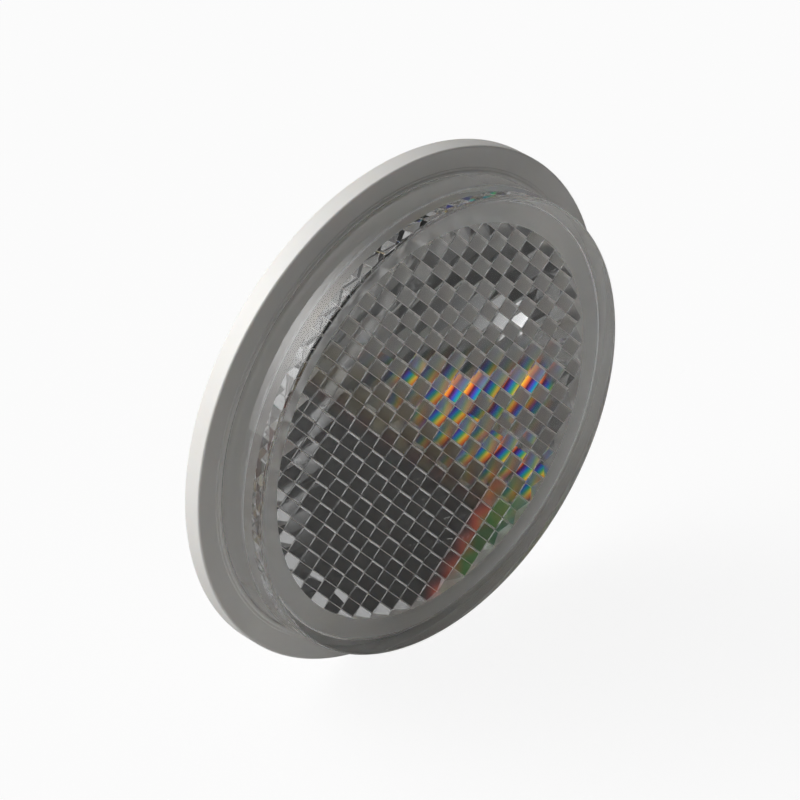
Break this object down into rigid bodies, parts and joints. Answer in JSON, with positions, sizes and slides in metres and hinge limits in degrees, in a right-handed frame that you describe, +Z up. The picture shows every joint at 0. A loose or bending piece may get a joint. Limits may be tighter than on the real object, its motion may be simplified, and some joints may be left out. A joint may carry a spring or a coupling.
{
  "type": "round survey reflector prism",
  "caption": "Flanged round reflector: clear acrylic lens with moulded corner cubes, welded to a white back housing with an adhesive pad.",
  "frame": {"origin": "centre of the adhesive pad's outer face, the face that goes against a wall or plate", "axes": "-Y along the optical axis out of the lens's front, +Y into the wall, +Z up, +X to the right seen from the front"},
  "size_m": [0.084, 0.0122, 0.084],
  "materials": {
    "lens": "polished clear acrylic",
    "housing": "fine satin, slightly translucent white",
    "pad": "closed-cell foam tape"
  },
  "bodies": {
    "root": {"reflector_lens": "lens", "back_housing": "housing", "adhesive_pad": "pad"}
  },
  "joints": []
}
